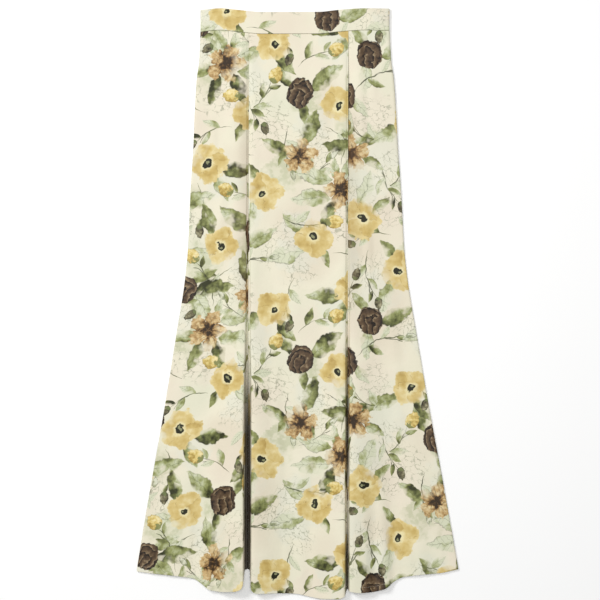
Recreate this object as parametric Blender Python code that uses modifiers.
# Mermaid skirt, laid flat on its back, front up.
# Metres, +Z up. The waist is towards +Y and the hem towards -Y.
# The origin is under the middle of the skirt's box, on the surface that it lies on.
# Left and right are as seen from above with the waist at the top.
# "Drop" is the distance down from the top edge of the waistband.

from collections import namedtuple

import bpy
import bmesh

# Driving sizes
FULL_LENGTH = 0.975        # top of the waistband to the lowest point of the hem
CLOTH = 0.0012             # wall of one layer of cloth
GAP = 0.0003               # left between neighbouring pieces
BAND_DEPTH = 0.036         # waistband, folded double over its stiffening
BAND_WALL = 0.003
BAND_EDGE_ROUND = 0.0006
WAIST_OFFSET = -0.0045     # the waist lies a little left of the hem's middle
SEAM_LEFT_AT_WAIST = -0.0805
SEAM_RIGHT_AT_WAIST = 0.0838
SEAM_SHIFT_AT_HEM = -0.0025

# The side seams' outline, symmetric about the skirt's own middle line
Outline = namedtuple("Outline", "drop half_width")
OUTLINE = (
    Outline(0.000, 0.1560),
    Outline(0.036, 0.1566),
    Outline(0.085, 0.1586),
    Outline(0.115, 0.1628),
    Outline(0.155, 0.1656),
    Outline(0.230, 0.1692),
    Outline(0.313, 0.1746),
    Outline(0.393, 0.1784),
    Outline(0.452, 0.1845),
    Outline(0.531, 0.1972),
    Outline(0.650, 0.2170),
    Outline(0.808, 0.2455),
    Outline(0.925, 0.2656),
)

# How far the top edge of the band dips, by the share of the way across from left to right
TopEdge = namedtuple("TopEdge", "share drop")
TOP_EDGE = (
    TopEdge(0.00, 0.0030),
    TopEdge(0.10, 0.0000),
    TopEdge(0.20, 0.0028),
    TopEdge(0.33, 0.0062),
    TopEdge(0.62, 0.0060),
    TopEdge(0.74, 0.0024),
    TopEdge(0.87, 0.0000),
    TopEdge(1.00, 0.0006),
)

# The front lies over the thick band at the waist and comes down to the back below the hip
Lift = namedtuple("Lift", "drop height")
LIFT = (
    Lift(0.036, 0.0039),
    Lift(0.220, 0.0030),
    Lift(0.340, CLOTH + GAP),
    Lift(0.980, CLOTH + GAP),
)

# Folds beside each front seam. The cloth turns down into the seam's valley at wall,
# rises to height above its layer, and has sunk back to it at reach from the seam.
Fold = namedtuple("Fold", "drop height wall reach")
LEFT_FLUTE = (
    Fold(0.036, 0.0000, 0.0027, 0.030),
    Fold(0.100, 0.0012, 0.0027, 0.034),
    Fold(0.300, 0.0018, 0.0027, 0.040),
    Fold(0.450, 0.0034, 0.0028, 0.048),
    Fold(0.560, 0.0072, 0.0036, 0.058),
    Fold(0.640, 0.0110, 0.0052, 0.067),
    Fold(0.800, 0.0150, 0.0056, 0.082),
    Fold(0.980, 0.0175, 0.0058, 0.094),
)
CENTRE_LEFT = (
    Fold(0.036, 0.0000, 0.0027, 0.030),
    Fold(0.100, 0.0010, 0.0027, 0.034),
    Fold(0.300, 0.0016, 0.0027, 0.040),
    Fold(0.450, 0.0030, 0.0028, 0.045),
    Fold(0.560, 0.0062, 0.0034, 0.052),
    Fold(0.640, 0.0090, 0.0046, 0.058),
    Fold(0.800, 0.0115, 0.0050, 0.068),
    Fold(0.980, 0.0130, 0.0050, 0.072),
)
CENTRE_RIGHT = (
    Fold(0.036, 0.0000, 0.0027, 0.030),
    Fold(0.100, 0.0008, 0.0027, 0.032),
    Fold(0.300, 0.0014, 0.0027, 0.038),
    Fold(0.450, 0.0024, 0.0027, 0.044),
    Fold(0.640, 0.0058, 0.0027, 0.052),
    Fold(0.800, 0.0084, 0.0027, 0.062),
    Fold(0.980, 0.0110, 0.0028, 0.070),
)
RIGHT_FLUTE = (
    Fold(0.036, 0.0000, 0.0027, 0.030),
    Fold(0.100, 0.0010, 0.0027, 0.034),
    Fold(0.300, 0.0016, 0.0027, 0.040),
    Fold(0.450, 0.0030, 0.0027, 0.046),
    Fold(0.640, 0.0080, 0.0027, 0.064),
    Fold(0.800, 0.0120, 0.0027, 0.080),
    Fold(0.980, 0.0150, 0.0028, 0.094),
)
WALL_RUN = 0.0034          # how far the steep side of a fold runs sideways

# Smaller creases in the flutes: at their distance from the seam, fading in down the gore
Crease = namedtuple("Crease", "away half_width height begins full")
LEFT_CREASES = (
    Crease(0.052, 0.012, -0.0035, 0.70, 0.88),
    Crease(0.068, 0.013, 0.0030, 0.66, 0.88),
    Crease(0.125, 0.030, 0.0028, 0.62, 0.90),
)
RIGHT_CREASES = (
    Crease(0.046, 0.014, -0.0030, 0.72, 0.90),
    Crease(0.066, 0.014, 0.0028, 0.68, 0.90),
    Crease(0.128, 0.032, 0.0026, 0.60, 0.90),
)

# The front hem's drop, by the distance from the seam that the gore is measured from
Hem = namedtuple("Hem", "away drop")
LEFT_HEM = (
    Hem(0.0000, 0.926),
    Hem(0.0042, 0.928),
    Hem(0.0076, 0.952),
    Hem(0.0110, 0.9585),
    Hem(0.0220, 0.962),
    Hem(0.0450, 0.963),
    Hem(0.0620, 0.9605),
    Hem(0.0750, 0.951),
    Hem(0.0900, 0.942),
    Hem(0.1150, 0.938),
    Hem(0.1540, 0.934),
    Hem(0.1850, 0.930),
)
CENTRE_HEM = (
    Hem(0.0000, 0.926),
    Hem(0.0033, 0.928),
    Hem(0.0054, 0.959),
    Hem(0.0150, 0.966),
    Hem(0.0500, 0.966),
    Hem(0.0800, 0.967),
    Hem(0.1030, 0.972),
    Hem(0.1250, 0.975),
    Hem(0.1480, 0.975),
    Hem(0.1600, 0.971),
    Hem(0.1645, 0.960),
)
RIGHT_HEM = (
    Hem(0.0000, 0.959),
    Hem(0.0050, 0.962),
    Hem(0.0200, 0.9645),
    Hem(0.0410, 0.9635),
    Hem(0.0630, 0.9585),
    Hem(0.0780, 0.9465),
    Hem(0.0920, 0.9400),
    Hem(0.1200, 0.936),
    Hem(0.1530, 0.933),
    Hem(0.1870, 0.926),
)

# The hidden back's hem, a few millimetres inside the front's, by the place across
BackHem = namedtuple("BackHem", "x drop")
BACK_HEM = (
    BackHem(-0.266, 0.924),
    BackHem(-0.190, 0.930),
    BackHem(-0.083, 0.923),
    BackHem(0.000, 0.952),
    BackHem(0.060, 0.956),
    BackHem(0.120, 0.948),
    BackHem(0.180, 0.932),
    BackHem(0.266, 0.920),
)

# How finely the cloth is cut into faces
ROWS = 32
WALL_STEPS = 5
FALL_STEPS = 15
CENTRE_STEPS = 10
BACK_STEPS = 8
BACK_ROWS = 24
BAND_STEPS = 28
BAND_ROWS = 3

# Concealed zip, closed, between the layers at the right side seam
ZIP_FROM = BAND_DEPTH + 0.002
ZIP_TO = 0.216
ZIP_WIDTH = 0.010
ZIP_INSET = 0.003
ZIP_WALL = 0.001
ZIP_ROWS = 10
SLIDER_WALL = 0.0008
Slider = namedtuple("Slider", "down half_width")
SLIDER = (
    Slider(0.0000, 0.0016),
    Slider(0.0010, 0.0026),
    Slider(0.0070, 0.0026),
    Slider(0.0085, 0.0012),
    Slider(0.0200, 0.0018),
    Slider(0.0230, 0.0012),
)


def clear_scene():
    for old in list(bpy.data.objects):
        bpy.data.objects.remove(old, do_unlink=True)


def read(rows, key, column, at):
    """A column's value at a place between the rows, on a smooth curve that never overshoots."""
    keys = [getattr(row, key) for row in rows]
    values = [getattr(row, column) for row in rows]
    if at <= keys[0]:
        return values[0]
    if at >= keys[-1]:
        return values[-1]
    slopes = [(values[i + 1] - values[i]) / (keys[i + 1] - keys[i]) for i in range(len(rows) - 1)]
    i = max(k for k in range(len(slopes)) if keys[k] <= at)

    def tangent(k):
        if k == 0 or k == len(slopes):
            return slopes[min(k, len(slopes) - 1)]
        before, after = slopes[k - 1], slopes[k]
        return 0.0 if before * after <= 0 else 2 * before * after / (before + after)

    span = keys[i + 1] - keys[i]
    t = (at - keys[i]) / span
    start, end = tangent(i) * span, tangent(i + 1) * span
    return ((2 * t ** 3 - 3 * t ** 2 + 1) * values[i] + (t ** 3 - 2 * t ** 2 + t) * start
            + (3 * t ** 2 - 2 * t ** 3) * values[i + 1] + (t ** 3 - t ** 2) * end)


def ease(value, start, end):
    """0 before start, 1 after end, and level at both."""
    t = min(1.0, max(0.0, (value - start) / (end - start)))
    return t * t * (3 - 2 * t)


def middle(drop):
    return WAIST_OFFSET * (1 - drop / FULL_LENGTH)


def side_x(side, drop):
    """The side seam's place: side is -1 on the left and 1 on the right."""
    return middle(drop) + side * read(OUTLINE, "drop", "half_width", drop)


def seam_x(side, drop):
    """The place of the seam between the centre gore and a side gore."""
    at_waist = SEAM_LEFT_AT_WAIST if side < 0 else SEAM_RIGHT_AT_WAIST
    return at_waist + SEAM_SHIFT_AT_HEM * drop / FULL_LENGTH


def top_drop(x):
    """How far the band's top edge lies below the highest point, at a place across."""
    left, right = side_x(-1, 0.0), side_x(1, 0.0)
    return read(TOP_EDGE, "share", "drop", (x - left) / (right - left))


def world(x, drop, z):
    return (x, FULL_LENGTH / 2 - drop, z)


def fold_height(rows, creases, away, drop):
    """Height of the cloth over its layer, at a distance from the seam."""
    height = read(rows, "drop", "height", drop)
    wall = read(rows, "drop", "wall", drop)
    reach = read(rows, "drop", "reach", drop)
    foot, crest = wall - WALL_RUN / 2, wall + WALL_RUN / 2
    risen = height * ease(away, foot, crest) * (1 - ease(away, crest, reach))
    for crease in creases:
        depth = crease.height * ease(drop, crease.begins, crease.full)
        risen += depth * (1 - ease(abs(away - crease.away), 0.0, crease.half_width))
    return max(0.0, risen)


def wall_stations(rows, drop):
    """Distances from the seam: the valley's floor, then the steep side of the fold."""
    wall = read(rows, "drop", "wall", drop)
    foot = wall - WALL_RUN / 2
    return [0.0] + [foot + WALL_RUN * step / WALL_STEPS for step in range(WALL_STEPS + 1)]


def material(name, colour, roughness, metallic=0.0):
    made = bpy.data.materials.new(name)
    made.use_nodes = True
    shader = made.node_tree.nodes["Principled BSDF"]
    shader.inputs["Base Color"].default_value = (*colour, 1.0)
    shader.inputs["Roughness"].default_value = roughness
    shader.inputs["Metallic"].default_value = metallic
    return made


def sheet(collection, name, grid, wall, finish, edge_round=0.0):
    """A wall of cloth: a grid of points, rows from the waist down, thickened upwards."""
    form = bmesh.new()
    points = [[form.verts.new(point) for point in row] for row in grid]
    for upper, lower in zip(points, points[1:]):
        for i in range(len(upper) - 1):
            form.faces.new((upper[i], lower[i], lower[i + 1], upper[i + 1]))
    mesh = bpy.data.meshes.new(name)
    form.to_mesh(mesh)
    form.free()
    piece = bpy.data.objects.new(name, mesh)
    collection.objects.link(piece)
    mesh.materials.append(finish)
    mesh.shade_smooth()
    solid = piece.modifiers.new("Wall", 'SOLIDIFY')
    solid.thickness = wall
    solid.offset = 1.0
    if edge_round:
        bevel = piece.modifiers.new("Edges", 'BEVEL')
        bevel.width = edge_round
        bevel.segments = 2
        bevel.limit_method = 'ANGLE'
    return piece


def side_gore_row(side, share):
    """One row of a front side gore, from its seam outwards."""
    rows, creases, hem = ((LEFT_FLUTE, LEFT_CREASES, LEFT_HEM) if side < 0
                          else (RIGHT_FLUTE, RIGHT_CREASES, RIGHT_HEM))
    row = []
    for step in range(WALL_STEPS + 1 + FALL_STEPS + 1):
        def away_at(drop):
            walls = wall_stations(rows, drop)
            if step < len(walls):
                return walls[step]
            width = side * (side_x(side, drop) - seam_x(side, drop)) - GAP / 2
            out = (step - len(walls) + 1) / FALL_STEPS
            return walls[-1] + (width - walls[-1]) * out

        top = BAND_DEPTH + GAP + top_drop(seam_x(side, BAND_DEPTH) + side * away_at(BAND_DEPTH))
        bottom = read(hem, "away", "drop", away_at(hem[-1].drop))
        drop = top + (bottom - top) * share
        away = away_at(drop)
        height = fold_height(rows, creases, away, drop)
        x = seam_x(side, drop) + side * (away + GAP / 2)
        row.append(world(x, drop, read(LIFT, "drop", "height", drop) + height))
    return row


def front_side_gore(collection, name, side, finish):
    grid = [side_gore_row(side, i / ROWS) for i in range(ROWS + 1)]
    if side < 0:
        grid = [row[::-1] for row in grid]
    return sheet(collection, name, grid, CLOTH, finish)


def centre_gore_row(share):
    """One row of the front centre gore, from its left seam to its right seam."""
    row = []
    count = 2 * (WALL_STEPS + 2) + CENTRE_STEPS - 1
    for step in range(count):
        def width_at(drop):
            return seam_x(1, drop) - seam_x(-1, drop) - GAP

        def away_at(drop):
            left = wall_stations(CENTRE_LEFT, drop)
            right = [width_at(drop) - away for away in wall_stations(CENTRE_RIGHT, drop)][::-1]
            if step < len(left):
                return left[step]
            if step >= count - len(right):
                return right[step - count + len(right)]
            return left[-1] + (right[0] - left[-1]) * (step - len(left) + 1) / CENTRE_STEPS

        top = BAND_DEPTH + GAP + top_drop(seam_x(-1, BAND_DEPTH) + away_at(BAND_DEPTH))
        bottom = read(CENTRE_HEM, "away", "drop", away_at(CENTRE_HEM[0].drop))
        drop = top + (bottom - top) * share
        away = away_at(drop)
        height = (fold_height(CENTRE_LEFT, (), away, drop)
                  + fold_height(CENTRE_RIGHT, (), width_at(drop) - away, drop))
        x = seam_x(-1, drop) + GAP / 2 + away
        row.append(world(x, drop, read(LIFT, "drop", "height", drop) + height))
    return row


def front_centre_gore(collection, finish):
    grid = [centre_gore_row(i / ROWS) for i in range(ROWS + 1)]
    return sheet(collection, "front_centre_gore", grid, CLOTH, finish)


def back_gore(collection, name, left_edge, right_edge, finish):
    """A plain flat gore between two lines that are functions of the drop."""
    grid = []
    for i in range(BACK_ROWS + 1):
        row = []
        for step in range(BACK_STEPS + 1):
            across = step / BACK_STEPS
            start = left_edge(BAND_DEPTH) + (right_edge(BAND_DEPTH) - left_edge(BAND_DEPTH)) * across
            top = BAND_DEPTH + GAP + top_drop(start)
            end = left_edge(FULL_LENGTH) + (right_edge(FULL_LENGTH) - left_edge(FULL_LENGTH)) * across
            drop = top + (read(BACK_HEM, "x", "drop", end) - top) * i / BACK_ROWS
            x = left_edge(drop) + (right_edge(drop) - left_edge(drop)) * across
            row.append(world(x, drop, 0.0))
        grid.append(row)
    return sheet(collection, name, grid, CLOTH, finish)


def waistband(collection, name, underside, finish):
    grid = []
    for i in range(BAND_ROWS + 1):
        row = []
        for step in range(BAND_STEPS + 1):
            x = side_x(-1, 0.0) + (side_x(1, 0.0) - side_x(-1, 0.0)) * step / BAND_STEPS
            row.append(world(x, top_drop(x) + BAND_DEPTH * i / BAND_ROWS, underside))
        grid.append(row)
    return sheet(collection, name, grid, BAND_WALL, finish, BAND_EDGE_ROUND)


def zip_tape(collection, finish):
    """The closed zip's tape and coil, along the right side seam, inside it."""
    grid = []
    for i in range(ZIP_ROWS + 1):
        drop = ZIP_FROM + (ZIP_TO - ZIP_FROM) * i / ZIP_ROWS
        outer = side_x(1, drop) - ZIP_INSET
        grid.append([world(outer - ZIP_WIDTH, drop, CLOTH + GAP), world(outer, drop, CLOTH + GAP)])
    return sheet(collection, "side_zip", grid, ZIP_WALL, finish)


def zip_slider(collection, finish):
    """The slider at the closed end, with its pull lying flat between the layers."""
    start = ZIP_FROM + GAP
    height = CLOTH + GAP + ZIP_WALL + GAP
    across = side_x(1, ZIP_FROM) - ZIP_INSET - ZIP_WIDTH / 2
    grid = []
    for row in SLIDER:
        grid.append([world(across - row.half_width, start + row.down, height),
                     world(across + row.half_width, start + row.down, height)])
    return sheet(collection, "zip_slider", grid, SLIDER_WALL, finish)


def build():
    clear_scene()
    skirt = bpy.data.collections.new("mermaid_skirt")
    bpy.context.scene.collection.children.link(skirt)
    cream = (0.80, 0.76, 0.62)

    waistband(skirt, "waistband_back", 0.0, material("waistband_back", cream, 0.5))
    waistband(skirt, "waistband_front", BAND_WALL + GAP, material("waistband_front", cream, 0.5))
    front_centre_gore(skirt, material("front_centre_gore", cream, 0.45))
    front_side_gore(skirt, "front_side_gore_left", -1, material("front_side_gore_left", cream, 0.45))
    front_side_gore(skirt, "front_side_gore_right", 1, material("front_side_gore_right", cream, 0.45))

    def left_seam(drop):
        return seam_x(-1, drop)

    def right_seam(drop):
        return seam_x(1, drop)

    def left_side(drop):
        return side_x(-1, drop)

    def right_side(drop):
        return side_x(1, drop)

    half_gap = GAP / 2
    back_gore(skirt, "back_side_gore_left", left_side, lambda drop: left_seam(drop) - half_gap,
              material("back_side_gore_left", cream, 0.45))
    back_gore(skirt, "back_centre_gore", lambda drop: left_seam(drop) + half_gap,
              lambda drop: right_seam(drop) - half_gap, material("back_centre_gore", cream, 0.45))
    back_gore(skirt, "back_side_gore_right", lambda drop: right_seam(drop) + half_gap, right_side,
              material("back_side_gore_right", cream, 0.45))
    zip_tape(skirt, material("side_zip", (0.78, 0.75, 0.66), 0.7))
    zip_slider(skirt, material("zip_slider", (0.72, 0.70, 0.62), 0.35, 1.0))


build()
